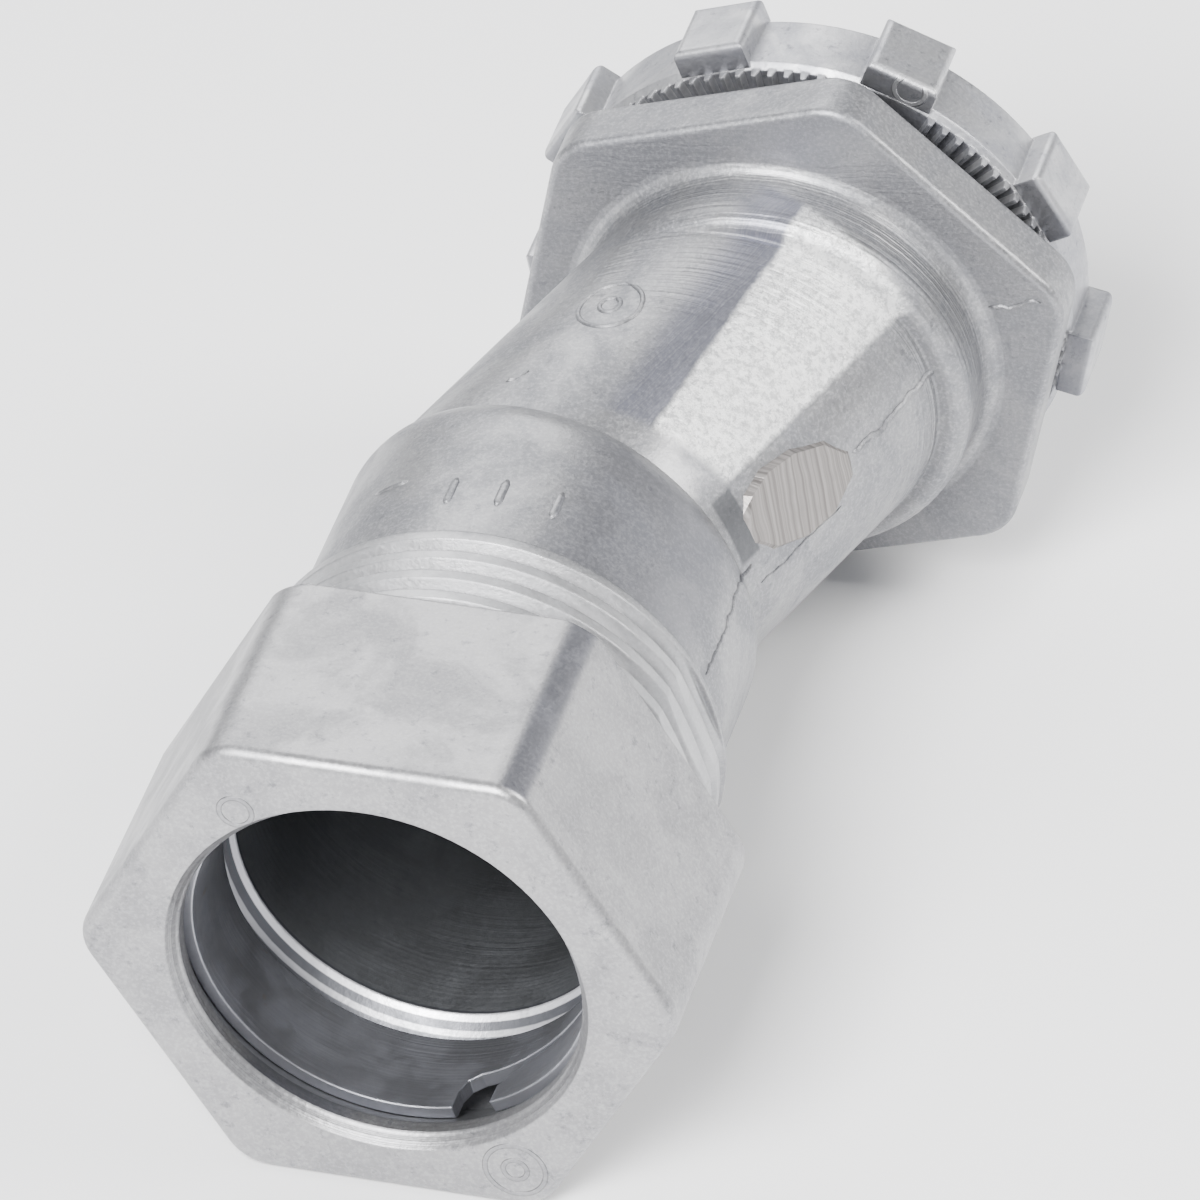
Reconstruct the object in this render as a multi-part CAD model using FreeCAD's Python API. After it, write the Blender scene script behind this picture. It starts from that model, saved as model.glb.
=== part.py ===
import FreeCAD, Part
import math
import os

# Offset compression connector for 1/2 in. thin-wall conduit. Millimetres.
# +Y runs from the conduit end to the box end, +Z is up. The origin is on the hub
# axis at the face of the hex flange that seats on the box.

V = FreeCAD.Vector

OFFSET = 6.82                     # distance between the conduit axis and the hub axis
OFFSET_ANGLE = 17.7               # direction of the offset, degrees above +X
OFFSET_DIR = V(math.cos(math.radians(OFFSET_ANGLE)), 0, math.sin(math.radians(OFFSET_ANGLE)))
SIDE_DIR = V(-OFFSET_DIR.z, 0, OFFSET_DIR.x)
AXIS_DIR = V(0, 1, 0)
CONDUIT_AXIS = OFFSET_DIR * -OFFSET

# Compression nut
NUT_FRONT = -48.6
NUT_LENGTH = 11.85
NUT_FLATS = 24.2
NUT_CORNER = 2.2                  # radius along the six corners
NUT_EDGE = 0.55                   # radius round the front hexagon
NUT_BEVEL_R = 13.45               # cone radius where it meets the rear face
NUT_LIP_R = 9.22
NUT_MOUTH_R = 9.7
NUT_MOUTH_DEPTH = 0.7
NUT_LIP_DEPTH = 1.35
NUT_SEAT_DEPTH = 4.45
NUT_THREAD_START = 7.0

# Gland thread between the nut and the body
GLAND_PITCH = 1.411
GLAND_MAJOR = 11.0
GLAND_ROOT = 10.45
GLAND_CREST = 0.55                # flat width of the crest
GLAND_LEAD = 1.9                  # the helix starts this far ahead of the mouth
SUNK = 0.12                       # how far a thread ridge is rooted into its wall
NUT_BORE = 11.12
NUT_RIDGE_R = 10.62
THREAD_GAP = 0.12                 # clearance between mating thread flanks
FLANK = math.tan(math.radians(30))

# Split compression ring
RING_FRONT = -46.4
RING_LENGTH = 4.66
RING_BORE = 9.08
RING_OUTER = 9.8
RING_TAPER = 1.2
RING_TAPER_R = 9.42
RING_GAP_ANGLE = -90.0            # direction of the split, degrees from the offset direction

# Connector body
MOUTH_Y = -41.1
MOUTH_R = 10.2
MOUTH_DEPTH = 1.2
SOCKET_R = 9.15
SOCKET_LENGTH = 18.4
NECK_Y = -30.0
NECK_R = 10.22
KNEE_Y = -17.9
TUBE_SLOPE = 0.45                 # sideways travel of the oblique tube per unit along Y
TUBE_R = 9.2
SHOULDER_ROUND = 3.0              # rounding of the neck's mitred end
THROAT_R = 7.5
LAND_HALF = 10.68                 # half distance across the two plain lands in the thread
COLLAR_FRONT = -6.5
COLLAR_R = 9.75
COLLAR_ROUND = 0.9
FLANGE_FRONT = -2.9
FLANGE_FLATS = 24.95
FLANGE_CORNER = 2.6

# Hub
HUB_MAJOR = 10.5
HUB_ROOT = 9.75
HUB_PITCH = 1.814
HUB_LENGTH = 7.8
HUB_THROAT = 7.9
HUB_TURNS = 5.2
HUB_CREST = 0.3
HUB_RELIEF = 1.3

# Locknut
LOCKNUT_FRONT = 1.5
LOCKNUT_LENGTH = 3.8
LOCKNUT_BORE = 10.62
LOCKNUT_BAND = 12.75
LOCKNUT_LUG_R = 13.85
LUG_COUNT = 9
LUG_WIDTH = 3.5
LUG_ANGLE = 11.0                  # first lug, degrees from the offset direction
TOOTH_COUNT = 99
TOOTH_HEIGHT = 0.5
TOOTH_WIDTH = 0.5                 # at the base
TOOTH_INNER = 10.9
TOOTH_OUTER = 12.5
PLAIN_LUG = 51.0                  # the lug whose face has no teeth inside it


def direction(angle):
    """Radial unit vector, measured about Y from the offset direction towards up."""
    a = math.radians(angle)
    return OFFSET_DIR * math.cos(a) + SIDE_DIR * math.sin(a)


def at(centre, y):
    return V(centre.x, y, centre.z)


def cylinder(centre, y0, y1, radius):
    return Part.makeCylinder(radius, y1 - y0, at(centre, y0), AXIS_DIR)


def revolve(centre, outline):
    """Turn an outline of (radius, y) points about the Y line through centre."""
    points = [at(centre, y) + OFFSET_DIR * r for r, y in outline]
    face = Part.Face(Part.makePolygon(points + points[:1]))
    return face.revolve(at(centre, 0), AXIS_DIR, 360)


def hexagon(centre, y0, y1, flats, corner, first_corner):
    """Hexagonal prism with rounded corners."""
    reach = flats / math.sqrt(3)
    points = [at(centre, y0) + direction(first_corner + 60 * k) * reach for k in range(6)]
    prism = Part.Face(Part.makePolygon(points + points[:1])).extrude(V(0, y1 - y0, 0))
    edges = [e for e in prism.Edges if abs(e.tangentAt(e.FirstParameter).y) > 0.99]
    return prism.makeFillet(corner, edges)


def thread_sweep(centre, y0, turns, pitch, outline):
    """Sweep an outline of (radius, y offset) points along a right-hand helix about Y."""
    helix = Part.makeHelix(pitch, pitch * turns, outline[0][0])
    points = [V(r, 0, dy) for r, dy in outline]
    profile = Part.makePolygon(points + points[:1])
    shell = Part.BRepOffsetAPI.MakePipeShell(helix)
    shell.setFrenetMode(True)
    shell.add(profile)
    shell.build()
    shell.makeSolid()
    solid = shell.shape()
    solid.Placement = FreeCAD.Placement(at(centre, y0), FreeCAD.Rotation(V(1, 0, 0), -90))
    return solid


def outer_ridge(major, root, crest_width):
    """Section of an external thread ridge, rooted a little below the root cylinder."""
    half_crest = crest_width / 2
    half_base = half_crest + (major - root + SUNK) * FLANK
    return [(root - SUNK, -half_base), (root - SUNK, half_base), (major, half_crest),
            (major, -half_crest)]


def inner_ridge():
    """Section of the nut's thread ridge: the gland thread's groove less a gap all round."""
    gap = THREAD_GAP / math.cos(math.radians(30))
    groove_at_crest = GLAND_PITCH - GLAND_CREST - 2 * (GLAND_MAJOR - NUT_RIDGE_R) * FLANK
    half_crest = groove_at_crest / 2 - gap
    base = NUT_BORE + SUNK
    half_base = half_crest + (base - NUT_RIDGE_R) * FLANK
    return [(NUT_RIDGE_R, -half_crest), (NUT_RIDGE_R, half_crest), (base, half_base),
            (base, -half_base)]


def make_nut():
    rear = NUT_FRONT + NUT_LENGTH
    block = hexagon(CONDUIT_AXIS, NUT_FRONT, rear, NUT_FLATS, NUT_CORNER, -OFFSET_ANGLE)
    front = [e for e in block.Edges if e.BoundBox.YMax < NUT_FRONT + 0.01]
    block = block.makeFillet(NUT_EDGE, front)
    bevel = revolve(CONDUIT_AXIS, [(0, NUT_FRONT - 1), (15, NUT_FRONT - 1), (15, rear - 1.0),
                                   (NUT_BEVEL_R, rear), (0, rear)])
    block = block.common(bevel)
    y = NUT_FRONT
    bore = revolve(CONDUIT_AXIS, [(0, y - 1), (NUT_MOUTH_R + 0.86, y - 1), (NUT_MOUTH_R, y),
                                  (NUT_LIP_R, y + NUT_MOUTH_DEPTH), (NUT_LIP_R, y + NUT_LIP_DEPTH),
                                  (NUT_BORE, y + NUT_SEAT_DEPTH), (NUT_BORE, rear - 0.5),
                                  (NUT_BORE + 0.9, rear + 0.4), (0, rear + 0.4)])
    nut = block.cut(bore)
    start = MOUTH_Y - GLAND_LEAD - 0.5 * GLAND_PITCH
    ridge = thread_sweep(CONDUIT_AXIS, start, 6, GLAND_PITCH, inner_ridge())
    keep = cylinder(CONDUIT_AXIS, NUT_FRONT + NUT_THREAD_START, rear - 0.5, NUT_BORE + 0.5)
    return nut.fuse(ridge.common(keep))


def make_ring():
    rear = RING_FRONT + RING_LENGTH
    ring = revolve(CONDUIT_AXIS, [(RING_BORE, RING_FRONT), (RING_OUTER - 0.12, RING_FRONT),
                                  (RING_OUTER, RING_FRONT + 0.2), (RING_OUTER, rear - RING_TAPER),
                                  (RING_TAPER_R, rear), (RING_BORE, rear)])
    return ring.cut(ring_split())


def ring_split():
    """Cutter for the stepped split: a wide notch at the front edge, then a slit running
    round the ring to its rear edge. Each station gives (arc, lower y, upper y)."""
    stations = [(-0.42, -0.5, 1.1), (-0.15, -0.5, 1.8), (0.4, -0.5, 2.15), (1.45, -0.5, 2.3),
                (1.55, 1.1, 2.32), (2.1, 1.75, 2.42), (3.0, 2.15, 2.65), (4.5, 2.6, 3.0),
                (6.5, 3.4, 3.7), (8.5, 4.3, 4.6), (9.6, 4.9, 5.2)]
    sections = []
    for arc, low, high in stations:
        radial = direction(RING_GAP_ANGLE + math.degrees(arc / RING_BORE))
        corners = [at(CONDUIT_AXIS, RING_FRONT + y) + radial * r
                   for r, y in ((8, low), (11, low), (11, high), (8, high))]
        sections.append(Part.makePolygon(corners + corners[:1]))
    return Part.makeLoft(sections, True, True)


def oblique_rod(radius, y0, y1):
    """Cylinder along the oblique axis, from y0 to y1 measured on that axis."""
    start = CONDUIT_AXIS + V(0, KNEE_Y, 0)
    along = AXIS_DIR + OFFSET_DIR * TUBE_SLOPE
    base = start + along * (y0 - KNEE_Y)
    return Part.makeCylinder(radius, along.Length * (y1 - y0), base, along)


def gland_thread():
    """Threaded end that the nut screws on, with two plain lands at the parting line."""
    core = cylinder(CONDUIT_AXIS, MOUTH_Y, NECK_Y + 0.3, GLAND_ROOT)
    keep = revolve(CONDUIT_AXIS, [(0, MOUTH_Y), (GLAND_MAJOR - 0.35, MOUTH_Y),
                                  (GLAND_MAJOR + 0.4, MOUTH_Y + 0.75),
                                  (GLAND_MAJOR + 0.4, NECK_Y - 0.6), (GLAND_ROOT - 0.2, NECK_Y + 0.25),
                                  (0, NECK_Y + 0.25)])
    turns = math.ceil((NECK_Y - MOUTH_Y + 2 * GLAND_LEAD) / GLAND_PITCH)
    ridge = thread_sweep(CONDUIT_AXIS, MOUTH_Y - GLAND_LEAD, turns, GLAND_PITCH,
                         outer_ridge(GLAND_MAJOR, GLAND_ROOT, GLAND_CREST))
    thread = core.fuse(ridge.common(keep))
    for turn in (0, 180):
        thread = thread.cut(land(turn))
    return thread


def elbow():
    """Neck with a rounded mitred end, and the slimmer oblique tube that leaves it."""
    knee = CONDUIT_AXIS + V(0, KNEE_Y, 0)
    along = AXIS_DIR + OFFSET_DIR * TUBE_SLOPE
    normal = AXIS_DIR + along / along.Length
    normal.normalize()
    keep = Part.makeCylinder(40, 60, knee - normal * 60, normal)
    neck = cylinder(CONDUIT_AXIS, NECK_Y - 0.5, KNEE_Y + 8, NECK_R).common(keep)
    rim = [e for e in neck.Edges if e.BoundBox.YMin > KNEE_Y - 6 and e.Length > 30]
    neck = neck.makeFillet(SHOULDER_ROUND, rim)
    reach = cylinder(V(0, 0, 0), KNEE_Y - 15, FLANGE_FRONT + 1.0, 40)
    tube = oblique_rod(TUBE_R, KNEE_Y - 3, FLANGE_FRONT + 2.0).common(reach)
    return neck.fuse(tube)


def collar():
    """Round collar on the hub axis, rounded in front and flared into the flange."""
    outline = [(0, COLLAR_FRONT)]
    steps = 5
    for k in range(steps + 1):
        a = math.radians(90 * k / steps)
        outline.append((COLLAR_R - COLLAR_ROUND + COLLAR_ROUND * math.sin(a),
                        COLLAR_FRONT + COLLAR_ROUND - COLLAR_ROUND * math.cos(a)))
    for k in range(steps + 1):
        a = math.radians(90 * k / steps)
        outline.append((COLLAR_R + COLLAR_ROUND * (1 - math.cos(a)),
                        FLANGE_FRONT - COLLAR_ROUND * (1 - math.sin(a))))
    outline += [(COLLAR_R + COLLAR_ROUND, FLANGE_FRONT + 0.5), (0, FLANGE_FRONT + 0.5)]
    return revolve(V(0, 0, 0), outline)


def flange():
    block = hexagon(V(0, 0, 0), FLANGE_FRONT, 0, FLANGE_FLATS, FLANGE_CORNER, 0)
    rim = [e for e in block.Edges if e.BoundBox.YLength < 0.01]
    return block.makeFillet(0.35, rim)


def hub():
    core = revolve(V(0, 0, 0), [(0, -0.5), (HUB_ROOT, -0.5), (HUB_ROOT, HUB_LENGTH - 0.3),
                                (HUB_ROOT - 0.3, HUB_LENGTH), (0, HUB_LENGTH)])
    keep = revolve(V(0, 0, 0), [(0, HUB_RELIEF), (HUB_ROOT, HUB_RELIEF),
                                (HUB_MAJOR + 0.4, HUB_RELIEF + 0.9),
                                (HUB_MAJOR + 0.4, HUB_LENGTH - 1.2),
                                (HUB_ROOT - 0.2, HUB_LENGTH - 0.35), (0, HUB_LENGTH - 0.35)])
    ridge = thread_sweep(V(0, 0, 0), HUB_RELIEF - 0.9, HUB_TURNS, HUB_PITCH,
                         outer_ridge(HUB_MAJOR, HUB_ROOT, HUB_CREST))
    return core.fuse(ridge.common(keep))


def land(turn):
    """Cutter for one plain land along the gland thread."""
    box = Part.makeBox(4, NECK_Y - MOUTH_Y - 2.2, 5.2, V(LAND_HALF, MOUTH_Y + 1.6, -2.6))
    box.rotate(V(0, 0, 0), AXIS_DIR, turn - OFFSET_ANGLE)
    box.translate(CONDUIT_AXIS)
    return box


def body_bore():
    socket = revolve(CONDUIT_AXIS, [(0, MOUTH_Y - 1), (MOUTH_R + 0.87, MOUTH_Y - 1),
                                    (SOCKET_R, MOUTH_Y + MOUTH_DEPTH),
                                    (SOCKET_R, MOUTH_Y + SOCKET_LENGTH),
                                    (THROAT_R, MOUTH_Y + SOCKET_LENGTH + 0.6),
                                    (0, MOUTH_Y + SOCKET_LENGTH + 0.6)])
    knee = Part.makeSphere(THROAT_R, CONDUIT_AXIS + V(0, KNEE_Y, 0))
    inlet = cylinder(CONDUIT_AXIS, MOUTH_Y + SOCKET_LENGTH, KNEE_Y, THROAT_R)
    oblique = oblique_rod(THROAT_R, KNEE_Y, -3.6)
    bend = Part.makeSphere(THROAT_R + 0.3, V(0, -3.9, 0))
    outlet = revolve(V(0, 0, 0), [(0, -3.9), (HUB_THROAT, -3.9), (HUB_THROAT, HUB_LENGTH - 0.7),
                                  (HUB_THROAT + 0.8, HUB_LENGTH + 0.1), (0, HUB_LENGTH + 0.1)])
    return socket.fuse([knee, inlet, oblique, bend, outlet])


def make_body():
    outside = elbow()
    for piece in (collar(), flange(), gland_thread(), hub()):
        outside = outside.fuse(piece)
    return outside.cut(body_bore())


def make_locknut():
    rear = LOCKNUT_FRONT + LOCKNUT_LENGTH
    band = revolve(V(0, 0, 0), [(LOCKNUT_BORE, LOCKNUT_FRONT), (LOCKNUT_BAND - 0.3, LOCKNUT_FRONT),
                                (LOCKNUT_BAND, LOCKNUT_FRONT + 0.3), (LOCKNUT_BAND, rear - 0.3),
                                (LOCKNUT_BAND - 0.3, rear), (LOCKNUT_BORE + 0.5, rear),
                                (LOCKNUT_BORE, rear - 0.5)])
    lugs = [make_lug(LUG_ANGLE + 360 / LUG_COUNT * k) for k in range(LUG_COUNT)]
    spacing = 360 / TOOTH_COUNT
    angles = [spacing * (k + 0.5) for k in range(TOOTH_COUNT)]
    teeth = [make_tooth(a) for a in angles if abs(a - PLAIN_LUG) > 2.2 * spacing]
    return band.fuse(lugs + teeth)


def make_lug(angle):
    lug = Part.makeBox(LOCKNUT_LUG_R - 12.5, LOCKNUT_LENGTH, LUG_WIDTH,
                       V(12.5, LOCKNUT_FRONT, -LUG_WIDTH / 2))
    outer = [e for e in lug.Edges if e.BoundBox.XMin > LOCKNUT_LUG_R - 0.01]
    lug = lug.makeFillet(0.35, outer)
    lug.rotate(V(0, 0, 0), AXIS_DIR, -(OFFSET_ANGLE + angle))
    return lug


def make_tooth(angle):
    """One radial ridge of the serrated face turned towards the flange."""
    half = TOOTH_WIDTH / 2
    tip = TOOTH_WIDTH / 5
    base_y = LOCKNUT_FRONT + 0.2
    tip_y = LOCKNUT_FRONT - TOOTH_HEIGHT
    points = [V(TOOTH_INNER, base_y, -half), V(TOOTH_INNER, base_y, half),
              V(TOOTH_INNER, tip_y, tip), V(TOOTH_INNER, tip_y, -tip)]
    tooth = Part.Face(Part.makePolygon(points + points[:1]))
    tooth = tooth.extrude(V(TOOTH_OUTER - TOOTH_INNER, 0, 0))
    tooth.rotate(V(0, 0, 0), AXIS_DIR, -(OFFSET_ANGLE + angle))
    return tooth


def export(name, shape):
    shape.exportStep("parts/" + name + ".step")
    print(name, len(shape.Solids), shape.isValid(), round(shape.Volume, 1))


os.makedirs("parts", exist_ok=True)
export("compression_ring", make_ring())
export("locknut", make_locknut())
export("compression_nut", make_nut())
export("connector_body", make_body())
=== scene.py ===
import math
import random

import bmesh
import bpy
from mathutils import Euler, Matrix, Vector


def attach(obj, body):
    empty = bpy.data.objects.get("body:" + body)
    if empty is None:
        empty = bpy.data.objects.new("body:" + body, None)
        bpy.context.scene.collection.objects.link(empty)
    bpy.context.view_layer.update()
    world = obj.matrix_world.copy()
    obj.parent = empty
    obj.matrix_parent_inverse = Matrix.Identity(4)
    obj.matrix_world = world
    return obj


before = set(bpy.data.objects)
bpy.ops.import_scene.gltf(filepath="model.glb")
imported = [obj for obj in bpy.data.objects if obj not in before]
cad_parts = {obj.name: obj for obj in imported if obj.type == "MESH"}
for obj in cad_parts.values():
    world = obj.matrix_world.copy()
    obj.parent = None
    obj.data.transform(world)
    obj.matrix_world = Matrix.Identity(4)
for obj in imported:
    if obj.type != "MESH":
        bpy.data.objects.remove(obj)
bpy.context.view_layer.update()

# Row frame, in metres: the hub axis runs through the origin along +Y. Angles round an
# axis are measured from the offset direction OUT towards SIDE.
MM = 0.001
OFFSET = 6.82
OFFSET_ANGLE = math.radians(17.7)
TUBE_SLOPE = 0.45
OUT = Vector((math.cos(OFFSET_ANGLE), 0, math.sin(OFFSET_ANGLE)))
SIDE = Vector((-math.sin(OFFSET_ANGLE), 0, math.cos(OFFSET_ANGLE)))
AXIS = Vector((0, 1, 0))
CONDUIT = OUT * -OFFSET * MM
KNEE = CONDUIT + AXIS * -17.9 * MM
TUBE = (AXIS + OUT * TUBE_SLOPE).normalized()
TUBE_OUT = TUBE.cross(SIDE).normalized()
TUBE_OUT = TUBE_OUT if TUBE_OUT.dot(OUT) > 0 else -TUBE_OUT
TUBE_R = 9.2 * MM
NECK_R = 10.22 * MM
FLANGE_FRONT = -2.9 * MM
FLANGE_REACH = 13.36 * MM
# Angles, in degrees, where painted shade falls on the nut's corner and on the neck.
NUT_CORNER_ANGLE = 42.3
NECK_SHADE_ANGLE = 32.0
FLOOR_Z = -14.22 * MM
CENTRE = Vector((-3, -22, 0)) * MM


# ---------------------------------------------------------------- node helpers

class Graph:
    """Short calls for building a material's nodes."""

    def __init__(self, name):
        self.material = bpy.data.materials.new(name)
        self.material.use_nodes = True
        self.tree = self.material.node_tree
        self.shader = self.tree.nodes["Principled BSDF"]
        self.place = self.node("ShaderNodeTexCoord").outputs["Object"]
        self.normal = self.node("ShaderNodeNewGeometry").outputs["Normal"]

    def node(self, kind):
        return self.tree.nodes.new(kind)

    def put(self, socket, value):
        if isinstance(value, bpy.types.NodeSocket):
            self.tree.links.new(value, socket)
        else:
            socket.default_value = value

    def noise(self, scale, detail=4.0, rough=0.6, distort=0.0):
        texture = self.node("ShaderNodeTexNoise")
        self.put(texture.inputs["Vector"], self.place)
        texture.inputs["Scale"].default_value = scale
        texture.inputs["Detail"].default_value = detail
        texture.inputs["Roughness"].default_value = rough
        texture.inputs["Distortion"].default_value = distort
        return texture.outputs["Fac"]

    def spread(self, value, low, high, to_low=0.0, to_high=1.0):
        """A smooth step from to_low to to_high while value goes from low to high."""
        remap = self.node("ShaderNodeMapRange")
        remap.interpolation_type = "SMOOTHSTEP"
        self.put(remap.inputs["Value"], value)
        for socket, number in (("From Min", low), ("From Max", high),
                               ("To Min", to_low), ("To Max", to_high)):
            remap.inputs[socket].default_value = number
        return remap.outputs["Result"]

    def math(self, operation, a, b=0.0):
        step = self.node("ShaderNodeMath")
        step.operation = operation
        self.put(step.inputs[0], a)
        self.put(step.inputs[1], b)
        return step.outputs[0]

    def dot(self, vector, direction):
        step = self.node("ShaderNodeVectorMath")
        step.operation = "DOT_PRODUCT"
        self.put(step.inputs[0], vector)
        step.inputs[1].default_value = tuple(direction)
        return step.outputs["Value"]

    def radius(self, centre):
        """Distance from the line along Y through centre."""
        shift = self.node("ShaderNodeVectorMath")
        shift.operation = "SUBTRACT"
        self.put(shift.inputs[0], self.place)
        shift.inputs[1].default_value = tuple(centre)
        flat = self.node("ShaderNodeVectorMath")
        flat.operation = "MULTIPLY"
        self.put(flat.inputs[0], shift.outputs["Vector"])
        flat.inputs[1].default_value = (1, 0, 1)
        size = self.node("ShaderNodeVectorMath")
        size.operation = "LENGTH"
        self.put(size.inputs[0], flat.outputs["Vector"])
        return size.outputs["Value"]

    def circle(self, centre, radius, width=0.14):
        """1 on a drawn circle, in mm, round the line along Y through centre."""
        off = self.math("ABSOLUTE", self.math("SUBTRACT", self.radius(centre), radius * MM))
        return self.spread(off, 0.6 * width * MM, width * MM, 1, 0)

    def ripple(self, value, scale, wobble=0.0):
        """Fine lines that follow a value, such as the distance along or from an axis."""
        texture = self.node("ShaderNodeTexNoise")
        texture.noise_dimensions = "1D"
        level = value if not wobble else self.math("ADD", value, self.math(
            "MULTIPLY", self.noise(300, 2), wobble))
        self.put(texture.inputs["W"], level)
        texture.inputs["Scale"].default_value = scale
        texture.inputs["Detail"].default_value = 3.0
        return texture.outputs["Fac"]

    def mix(self, factor, a, b):
        blend = self.node("ShaderNodeMix")
        blend.data_type = "RGBA"
        self.put(blend.inputs["Factor"], factor)
        self.put(blend.inputs["A"], a)
        self.put(blend.inputs["B"], b)
        return blend.outputs["Result"]

    def bump(self, height, strength, distance, under=None):
        step = self.node("ShaderNodeBump")
        step.inputs["Strength"].default_value = strength
        step.inputs["Distance"].default_value = distance
        self.put(step.inputs["Height"], height)
        if under is not None:
            self.put(step.inputs["Normal"], under)
        return step.outputs["Normal"]

    def round_edges(self, radius):
        bevel = self.node("ShaderNodeBevel")
        bevel.samples = 4
        bevel.inputs["Radius"].default_value = radius
        return bevel.outputs["Normal"]


def cast_metal(name, light, dark, grain=1.0, roughness=0.44):
    """Die-cast zinc: mottled satin grey with a fine grain and dark specks."""
    g = Graph(name)
    clouds = g.spread(g.noise(260, 5, 0.65, distort=0.6), 0.34, 0.68)
    grain_noise = g.noise(5200, 3, 0.7)
    speckle = g.spread(g.noise(1700, 4, 0.75), 0.56, 0.72)
    colour = g.mix(clouds, light + (1,), dark + (1,))
    colour = g.mix(g.spread(grain_noise, 0.42, 0.68, 0, 0.30), colour, (0.60, 0.60, 0.61, 1))
    colour = g.mix(g.math("MULTIPLY", speckle, 0.55), colour, (0.125, 0.128, 0.145, 1))
    rough = g.math("ADD", g.spread(clouds, 0, 1, roughness - 0.05, roughness + 0.07),
                   g.spread(grain_noise, 0.3, 0.7, -0.04, 0.04))
    normal = g.bump(g.noise(900, 4, 0.6), 0.22 * grain, 0.00012, g.round_edges(0.00016))
    normal = g.bump(grain_noise, 0.30 * grain, 0.00004, normal)
    g.shader.inputs["Metallic"].default_value = 0.88
    return g, colour, rough, normal


def finish(g, colour, rough, normal):
    g.put(g.shader.inputs["Base Color"], colour)
    g.put(g.shader.inputs["Roughness"], rough)
    g.put(g.shader.inputs["Normal"], normal)
    return g.material


def band(g, value, low, high, soft):
    """1 where a value lies between two limits, falling to 0 over a soft margin."""
    return g.math("MULTIPLY", g.spread(value, low - soft, low), g.spread(value, high, high + soft, 1, 0))


def all_of(g, *masks):
    """1 where every mask is 1."""
    result = masks[0]
    for mask in masks[1:]:
        result = g.math("MULTIPLY", result, mask)
    return result


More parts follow.
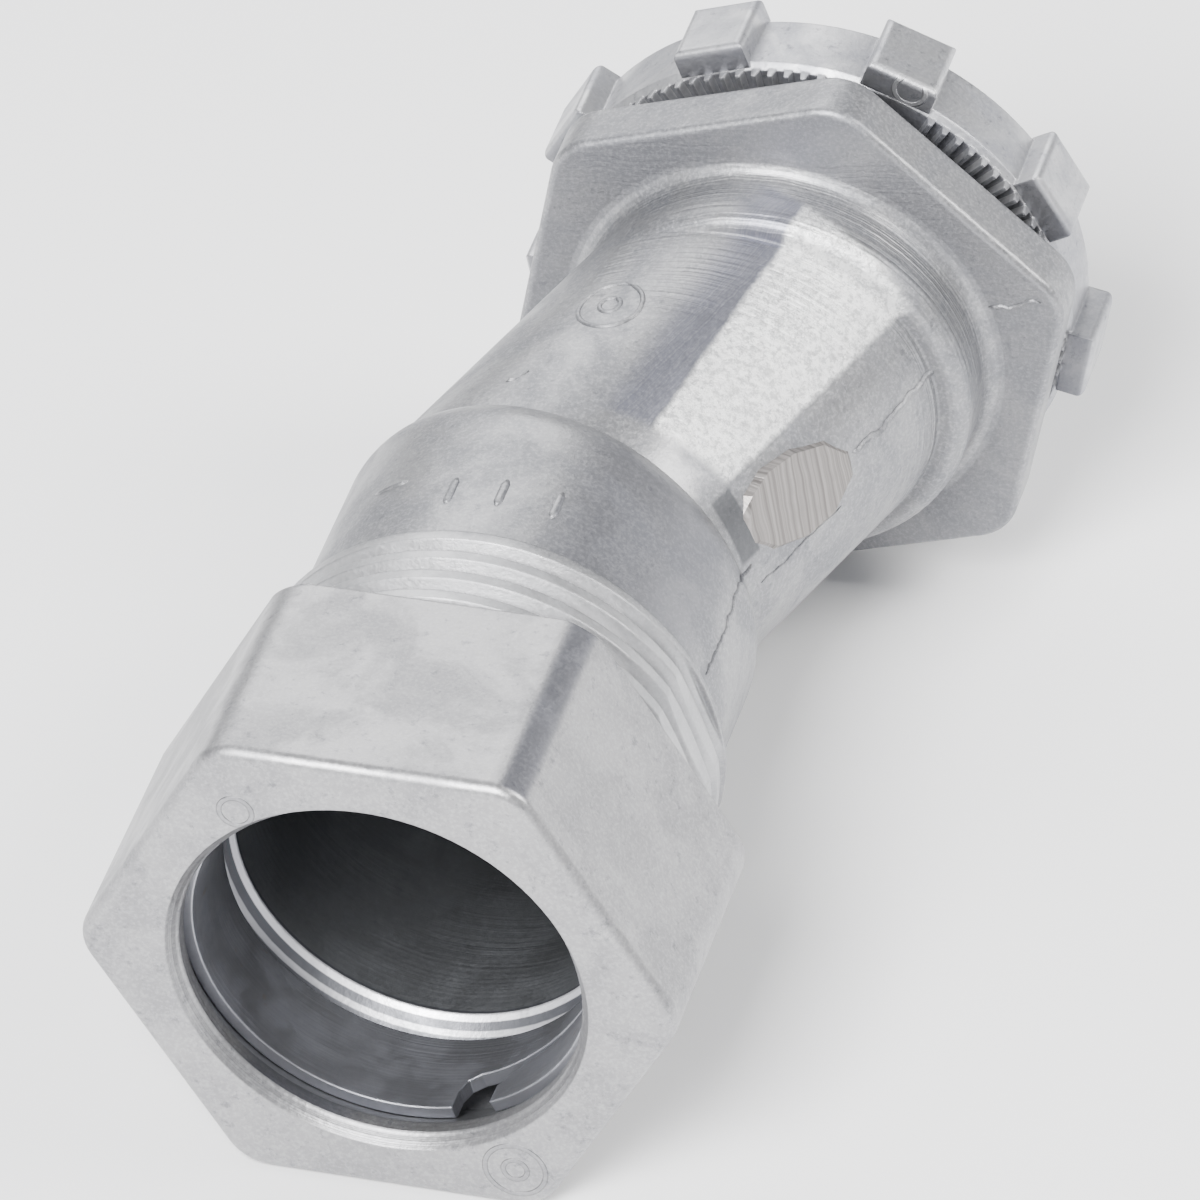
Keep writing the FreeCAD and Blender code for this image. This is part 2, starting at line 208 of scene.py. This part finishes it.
def body_material():
    """Zones of the body: threads, neck, oblique tube, flange front and socket, with painted shade and painted
    highlights on some of them.
    """
    g, colour, rough, normal = cast_metal("cast_body", (0.295, 0.295, 0.303), (0.215, 0.219, 0.235))
    along = g.dot(g.place, AXIS)
    run = g.math("SUBTRACT", g.dot(g.place, TUBE), KNEE.dot(TUBE))
    side = g.math("SUBTRACT", g.dot(g.place, SIDE), KNEE.dot(SIDE))
    out = g.math("SUBTRACT", g.dot(g.place, TUBE_OUT), KNEE.dot(TUBE_OUT))
    turn = g.math("ADD", g.math("ARCTAN2", side, out), g.math("MULTIPLY", g.noise(1100, 3), 0.035))
    level = g.math("SUBTRACT", turn, g.math("MULTIPLY", run, 17.0))
    outside = g.spread(g.radius(CONDUIT), 0.0092, 0.0094)
    squares = g.math("ADD", g.math("POWER", side, 2.0), g.math("POWER", out, 2.0))
    on_tube_skin = g.spread(g.math("POWER", squares, 0.5), 0.0088, 0.0090)
    tube = all_of(g, on_tube_skin, band(g, run, 0.0014, 0.0165, 0.0006), g.spread(along, -0.0185, -0.0178))
    # Painted highlight: a near-white band along the tube where a lamp's reflection falls; it is also made
    # smoother and bumped.
    highlight_band = all_of(g, tube, g.spread(turn, 0.33, 0.37), g.spread(level, 0.75, 0.79, 1, 0))
    # Painted shade: a dark blue-grey band beside the highlight band, standing in for a dark reflection.
    shade_stripe = all_of(g, tube, g.spread(level, 0.75, 0.79), g.spread(level, 0.93, 1.12, 1, 0))
    facet = all_of(g, on_tube_skin, band(g, run, 0.0023, 0.0034, 0.0002), band(g, turn, -0.03, 0.32, 0.03))
    neck = all_of(g, band(g, along, -0.0295, -0.0200, 0.0010), outside)
    # Painted shade: the neck is darkened where it faces NECK_SHADE_ANGLE, standing in for a dark reflection.
    facing = g.dot(g.normal, radial_at(NECK_SHADE_ANGLE))
    neck_shade = g.math("MULTIPLY", neck, g.spread(facing, 0.86, 0.98))
    # The threads are lighter: partly their machined metal, partly a painted highlight along the crests.
    thread = g.math("MULTIPLY", g.spread(along, -0.0310, -0.0302, 1, 0), outside)
    flange_front = all_of(g, g.spread(g.dot(g.normal, -AXIS), 0.85, 0.95), g.spread(along, -0.00305, -0.0029))
    # Painted shade: the conduit bore is painted darker; it is also rougher and carries turned lines.
    socket = all_of(g, g.spread(g.radius(CONDUIT), 0.0094, 0.0092), band(g, along, -0.0396, -0.0215, 0.0003))
    # Painted shade: the gap at the socket's mouth, behind the ring, is painted near black.
    mouth = all_of(g, g.spread(g.radius(CONDUIT), 0.0104, 0.0103), band(g, along, -0.0420, -0.0397, 0.0001))
    # Painted highlights: two thin bright lines on the edges of the socket's mouth.
    rim = all_of(g, mouth, band(g, along, -0.04012, -0.03985, 0.00006))
    lead = all_of(g, mouth, band(g, along, -0.04065, -0.04050, 0.00006))

    lines = g.ripple(turn, 120.0)
    flakes = g.spread(g.noise(2700, 5, 0.85), 0.36, 0.60)
    colour = g.mix(g.math("MULTIPLY", thread, 0.45), colour, (0.62, 0.62, 0.63, 1))
    colour = g.mix(g.math("MULTIPLY", neck_shade, 0.5), colour, (0.150, 0.153, 0.178, 1))
    colour = g.mix(g.math("MULTIPLY", shade_stripe, g.spread(lines, 0.3, 0.7, 0.45, 0.8)), colour,
                   (0.155, 0.160, 0.205, 1))
    colour = g.mix(g.math("MULTIPLY", highlight_band, g.spread(flakes, 0, 1, 0.35, 1)), colour,
                   (0.90, 0.90, 0.895, 1))
    colour = g.mix(g.math("MULTIPLY", facet, 0.8), colour, (0.09, 0.093, 0.10, 1))
    colour = g.mix(g.math("MULTIPLY", flange_front, 0.35), colour, (0.19, 0.193, 0.21, 1))
    colour = g.mix(g.math("MULTIPLY", socket, 0.85), colour, (0.125, 0.131, 0.138, 1))
    colour = g.mix(g.math("MULTIPLY", mouth, 0.9), colour, (0.085, 0.088, 0.10, 1))
    colour = g.mix(g.math("MAXIMUM", rim, g.math("MULTIPLY", lead, 0.5)), colour, (0.80, 0.80, 0.83, 1))
    rough = g.math("SUBTRACT", rough, g.math("MULTIPLY", highlight_band, 0.08))
    rough = g.math("ADD", rough, g.math("MULTIPLY", socket, 0.10))

    turned = all_of(g, band(g, along, -0.0110, -0.0036, 0.0010), outside)
    brushed = g.ripple(g.dot(g.place, SIDE + OUT * 0.2), 3800, 0.001)
    normal = g.bump(all_of(g, turned, g.ripple(along, 4300, 0.0003)), 0.6, 0.0001, normal)
    normal = g.bump(g.math("MULTIPLY", flange_front, brushed), 0.4, 0.00006, normal)
    normal = g.bump(g.math("MULTIPLY", socket, g.ripple(along, 3300, 0.0003)), 0.4, 0.00008, normal)
    normal = g.bump(g.math("MULTIPLY", highlight_band, g.noise(2400, 5, 0.75)), 0.8, 0.00012, normal)
    return finish(g, colour, rough, normal)


def nut_material():
    """Painted shade along one corner and in the bore, with plain round marks on its front face."""
    g, colour, rough, normal = cast_metal("cast_nut", (0.345, 0.342, 0.348), (0.285, 0.284, 0.294), 0.8, 0.41)
    # Painted shade: a dark blue-grey band where the nut's faces turn to NUT_CORNER_ANGLE, standing in for a
    # dark reflection.
    ridge = g.dot(g.normal, radial_at(NUT_CORNER_ANGLE))
    dark = g.spread(ridge, 0.925, 0.985)
    colour = g.mix(g.math("MULTIPLY", dark, 0.62), colour, (0.13, 0.135, 0.165, 1))
    # Painted shade: the nut's bore is painted darker.
    bore = g.spread(g.radius(CONDUIT), 0.01135, 0.0111)
    bore = g.math("MULTIPLY", bore, g.spread(g.dot(g.place, AXIS), -0.0475, -0.0471))
    colour = g.mix(g.math("MULTIPLY", bore, 0.65), colour, (0.13, 0.135, 0.145, 1))
    lip = g.math("MULTIPLY", g.spread(g.radius(CONDUIT), 0.00975, 0.00965),
                 g.spread(g.dot(g.place, AXIS), -0.0475, -0.0477))
    normal = g.bump(g.math("MULTIPLY", lip, g.ripple(g.dot(g.place, AXIS), 5000)), 0.4, 0.00008, normal)
    face = g.spread(g.dot(g.normal, -AXIS), 0.9, 0.97)
    round_mark = Vector((-0.64, 0, -11.96)) * MM
    small_mark = Vector((-12.32, 0, 6.62)) * MM
    marks = g.math("MAXIMUM", g.circle(round_mark, 1.4), g.circle(round_mark, 0.55))
    marks = g.math("MULTIPLY", g.math("MAXIMUM", marks, g.circle(small_mark, 0.75)), face)
    colour = g.mix(g.math("MULTIPLY", marks, 0.35), colour, (0.22, 0.22, 0.235, 1))
    return finish(g, colour, rough, g.bump(marks, 0.9, 0.00012, normal))


def locknut_material():
    """Painted shade on the faces turned to the flange, with one round mark on a lug."""
    g, colour, rough, normal = cast_metal("cast_locknut", (0.50, 0.50, 0.51), (0.33, 0.335, 0.365), 1.0, 0.42)
    front = g.spread(g.dot(g.normal, -AXIS), 0.75, 0.95)
    # Painted shade: faces turned to the flange are darkened, where shade falls between the parts.
    colour = g.mix(g.math("MULTIPLY", front, 0.55), colour, (0.085, 0.087, 0.105, 1))
    mark = g.math("MULTIPLY", g.circle(Vector((5.3, 0, 12.2)) * MM, 0.75), front)
    colour = g.mix(g.math("MULTIPLY", mark, 0.5), colour, (0.55, 0.55, 0.56, 1))
    return finish(g, colour, rough, g.bump(mark, 0.9, 0.00012, normal))


def ring_material():
    """Strip steel with lines rolled round it and a dull grey plating."""
    g = Graph("ring_steel")
    lines = g.ripple(g.dot(g.place, AXIS), 6500, 0.0003)
    clouds = g.spread(g.noise(420, 4), 0.35, 0.7)
    colour = g.mix(clouds, (0.47, 0.475, 0.51, 1), (0.35, 0.355, 0.395, 1))
    colour = g.mix(g.spread(lines, 0.3, 0.7, 0, 0.35), colour, (0.42, 0.43, 0.45, 1))
    stain = g.spread(g.noise(700, 3, 0.5), 0.68, 0.75, 0, 0.35)
    colour = g.mix(stain, colour, (0.36, 0.29, 0.22, 1))
    rough = g.spread(clouds, 0, 1, 0.34, 0.46)
    normal = g.bump(lines, 0.35, 0.00006, g.round_edges(0.00012))
    g.shader.inputs["Metallic"].default_value = 0.95
    return finish(g, colour, rough, normal)


def scar_material():
    """The ground-off casting gate: warm grey, brushed one way."""
    g = Graph("gate_scar")
    across = g.dot(g.place, AXIS * 0.86 - SIDE * 0.2)
    lines = g.ripple(across, 5600, 0.0005)
    patches = g.noise(800, 3)
    colour = g.mix(g.spread(lines, 0.25, 0.75), (0.175, 0.162, 0.155, 1), (0.35, 0.33, 0.318, 1))
    colour = g.mix(g.spread(patches, 0.45, 0.8, 0, 0.3), colour, (0.20, 0.19, 0.185, 1))
    g.shader.inputs["Metallic"].default_value = 0.85
    return finish(g, colour, g.spread(lines, 0.2, 0.8, 0.34, 0.5), g.bump(lines, 0.6, 0.00008))


def flash_material():
    """Rougher, darker zinc of the mould's parting line."""
    g, colour, rough, normal = cast_metal("parting_flash", (0.30, 0.30, 0.31), (0.12, 0.123, 0.135), 1.3)
    return finish(g, colour, rough, normal)


# ---------------------------------------------------------------- cast details

def new_piece(name, mesh_data, material):
    piece = bpy.data.objects.new(name, mesh_data)
    bpy.context.collection.objects.link(piece)
    piece.data.materials.append(material)
    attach(piece, "body")
    return piece


def on_tube(run, angle, lift=0.0):
    """Point on the oblique tube: distance from the knee, degrees from the offset side."""
    a = math.radians(angle)
    radial = TUBE_OUT * math.cos(a) + SIDE * math.sin(a)
    return KNEE + TUBE * run * MM + radial * (TUBE_R + lift * MM), radial


def radial_at(angle):
    a = math.radians(angle)
    return OUT * math.cos(a) + SIDE * math.sin(a)


def on_neck(y, angle):
    radial = radial_at(angle)
    return CONDUIT + AXIS * y * MM + radial * NECK_R, radial


def on_flange(radius, angle):
    return AXIS * FLANGE_FRONT + radial_at(angle) * radius * MM, -AXIS


def ribbon(name, points, width, height, material):
    """A low rounded bead through (point, normal) pairs, sunk a little into the surface."""
    mesh = bmesh.new()
    rows = []
    profile = [(-1.0, -0.6), (-0.72, 0.45), (-0.25, 0.95), (0.25, 0.95), (0.72, 0.45), (1.0, -0.6)]
    for k, (point, normal) in enumerate(points):
        ahead = points[min(k + 1, len(points) - 1)][0]
        behind = points[max(k - 1, 0)][0]
        side = (ahead - behind).cross(normal).normalized()
        taper = 0.35 if k in (0, len(points) - 1) else 1.0
        rows.append([mesh.verts.new(point + side * (u * width * taper * MM / 2)
                                    + normal * (h * height * taper * MM)) for u, h in profile])
    for first, second in zip(rows, rows[1:]):
        for k in range(len(profile) - 1):
            mesh.faces.new((first[k], first[k + 1], second[k + 1], second[k]))
        mesh.faces.new((first[-1], first[0], second[0], second[-1]))
    mesh.faces.new(list(reversed(rows[0])))
    mesh.faces.new(rows[-1])
    bmesh.ops.recalc_face_normals(mesh, faces=mesh.faces)
    data = bpy.data.meshes.new(name)
    mesh.to_mesh(data)
    mesh.free()
    data.polygons.foreach_set("use_smooth", [True] * len(data.polygons))
    return new_piece(name, data, material)


def jagged(start, end, steps, wander, rng):
    """Pairs of (along, across) values from start to end with a seeded wander across."""
    line = []
    drift = 0.0
    for k in range(steps + 1):
        t = k / steps
        drift = 0.6 * drift + rng.uniform(-wander, wander)
        line.append((start[0] + (end[0] - start[0]) * t, start[1] + (end[1] - start[1]) * t + drift))
    return line


def parting_flash(material):
    """Thin uneven beads where the two halves of the mould met."""
    rng = random.Random(7)
    neck_line = [on_neck(y, a) for y, a in jagged((-28.6, 0.6), (-20.6, 1.6), 26, 0.9, rng)]
    ribbon("flash_neck", neck_line, 0.22, 0.07, material)
    tube_line = [on_tube(s, a) for s, a in jagged((10.6, -3.0), (17.2, -2.0), 24, 1.0, rng)]
    ribbon("flash_tube", tube_line, 0.38, 0.12, material)
    inner_line = [on_tube(s, a) for s, a in jagged((3.0, -14.0), (9.0, -15.5), 14, 0.8, rng)]
    ribbon("flash_scar_edge", inner_line, 0.16, 0.04, material)
    flange_line = [on_flange(r, a) for r, a in jagged((10.6, 2.0), (13.2, 1.0), 8, 0.8, rng)]
    ribbon("flash_flange", flange_line, 0.26, 0.10, material)
    corner = [(AXIS * y * MM + OUT * FLANGE_REACH + SIDE * d * MM, OUT)
              for y, d in jagged((-2.5, 0.2), (-0.4, 0.0), 7, 0.12, rng)]
    ribbon("flash_corner", corner, 0.3, 0.06, material)


def gate_scar(material):
    """Flat patch where the casting gate was ground off beside the knee."""
    outline = [(3.2, 8.0), (3.9, 13.5), (5.4, 16.0), (7.4, 14.0), (9.4, 8.0), (10.5, -1.0),
               (10.3, -9.0), (8.4, -14.5), (6.2, -13.5), (4.2, -8.0), (3.2, -1.0)]
    mesh = bmesh.new()
    rim = []
    for run, angle in outline:
        rim.append(mesh.verts.new(on_tube(run, angle, -0.08)[0]))
    middle_point = sum((v.co for v in rim), Vector()) / len(rim)
    radial = on_tube(6.8, 0.5)[1]
    inner = []
    for v in rim:
        toward = v.co.lerp(middle_point, 0.10)
        height = (toward - KNEE).dot(radial)
        inner.append(mesh.verts.new(toward + radial * (TUBE_R + 0.10 * MM - height)))
    count = len(rim)
    for k in range(count):
        mesh.faces.new((rim[k], rim[(k + 1) % count], inner[(k + 1) % count], inner[k]))
    mesh.faces.new(inner)
    mesh.faces.new(list(reversed(rim)))
    bmesh.ops.recalc_face_normals(mesh, faces=mesh.faces)
    data = bpy.data.meshes.new("gate_scar")
    mesh.to_mesh(data)
    mesh.free()
    return new_piece("gate_scar", data, material)


def ring_mark(name, run, angle, size, per_mm, material):
    """Raised circle on the tube, its size in mm."""
    points = []
    for k in range(33):
        a = math.tau * k / 32
        points.append(on_tube(run + size * math.cos(a), angle + size * math.sin(a) * per_mm))
    ribbon(name, points, 0.3, 0.08, material)


def bar_mark(name, place, start, end, material, width):
    """Raised bar between two (along, angle) places on the tube or the neck."""
    points = []
    for k in range(7):
        t = k / 6
        points.append(place(start[0] + (end[0] - start[0]) * t, start[1] + (end[1] - start[1]) * t))
    ribbon(name, points, width, 0.09, material)


def cast_marks(material):
    """Plain rings and bars in place of cast marks; none of them is lettering."""
    per_mm = math.degrees(MM / TUBE_R)
    ring_mark("mark_ring", 7.3, 84.5, 1.55, per_mm, material)
    ring_mark("mark_ring_centre", 7.3, 84.5, 0.5, per_mm, material)
    bar_mark("mark_small", on_tube, (1.0, 92.0), (2.0, 88.0), material, 0.3)
    for k, angle in enumerate((86.0, 72.5, 58.0)):
        bar_mark("mark_bar_%d" % k, on_neck, (-27.4, angle), (-25.5, angle), material, 0.5)
    bar_mark("mark_dash", on_neck, (-25.0, 112.0), (-25.0, 101.0), material, 0.42)


# ---------------------------------------------------------------- stage

def direction(azimuth, elevation):
    a = math.radians(azimuth)
    e = math.radians(elevation)
    return Vector((math.sin(a) * math.cos(e), -math.cos(a) * math.cos(e), math.sin(e)))


def softbox(name, azimuth, elevation, distance, width, height, power, tint=(1, 1, 1)):
    data = bpy.data.lights.new(name, "AREA")
    data.shape = "RECTANGLE"
    data.size = width
    data.size_y = height
    data.energy = power
    data.color = tint
    light = bpy.data.objects.new(name, data)
    toward = direction(azimuth, elevation)
    light.location = CENTRE + toward * distance
    light.rotation_euler = toward.to_track_quat("Z", "Y").to_euler()
    bpy.context.collection.objects.link(light)


def add_floor():
    data = bpy.data.meshes.new("floor")
    size = 3.0
    data.from_pydata([(-size, -size, FLOOR_Z), (size, -size, FLOOR_Z), (size, size, FLOOR_Z),
                      (-size, size, FLOOR_Z)], [], [(0, 1, 2, 3)])
    floor = bpy.data.objects.new("floor", data)
    bpy.context.collection.objects.link(floor)
    g = Graph("floor_paper")
    tone = g.mix(g.noise(6, 2), (0.90, 0.90, 0.905, 1), (0.87, 0.87, 0.875, 1))
    g.put(g.shader.inputs["Base Color"], tone)
    g.shader.inputs["Roughness"].default_value = 0.9
    g.shader.inputs["Specular IOR Level"].default_value = 0.1
    floor.data.materials.append(g.material)


def add_world():
    world = bpy.data.worlds.new("studio")
    world.use_nodes = True
    background = world.node_tree.nodes["Background"]
    background.inputs["Color"].default_value = (0.93, 0.95, 1.0, 1)
    background.inputs["Strength"].default_value = 0.5
    bpy.context.scene.world = world


def add_lights():
    softbox("behind_left", -152, 38, 0.45, 0.34, 0.30, 1.45)
    softbox("right_key", 101, 42, 0.42, 0.16, 0.18, 1.7, (1, 0.99, 0.97))
    softbox("front_top", -10, 46, 0.55, 0.26, 0.24, 9.0)
    softbox("behind_right_low", 138, 6, 0.5, 0.22, 0.14, 0.25)


def add_camera():
    data = bpy.data.cameras.new("camera")
    data.lens = 314.75
    data.sensor_width = 36.0
    data.clip_start = 0.02
    camera = bpy.data.objects.new("camera", data)
    camera.location = (0.10950, -0.37678, 0.29849)
    camera.rotation_euler = Euler([math.radians(v) for v in (51.141, 2.603, 15.593)])
    bpy.context.collection.objects.link(camera)
    bpy.context.scene.camera = camera


def dress(name, material):
    """Give a frame node its material on the object's own slots, which leaves its mesh alone."""
    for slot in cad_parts[name].material_slots:
        slot.link = "OBJECT"
        slot.material = material


body_finish = body_material()
flash_finish = flash_material()
dress("connector_body", body_finish)
dress("compression_nut", nut_material())
dress("compression_ring", ring_material())
dress("locknut", locknut_material())
parting_flash(flash_finish)
gate_scar(scar_material())
cast_marks(body_finish)
add_floor()
add_world()
add_lights()
add_camera()
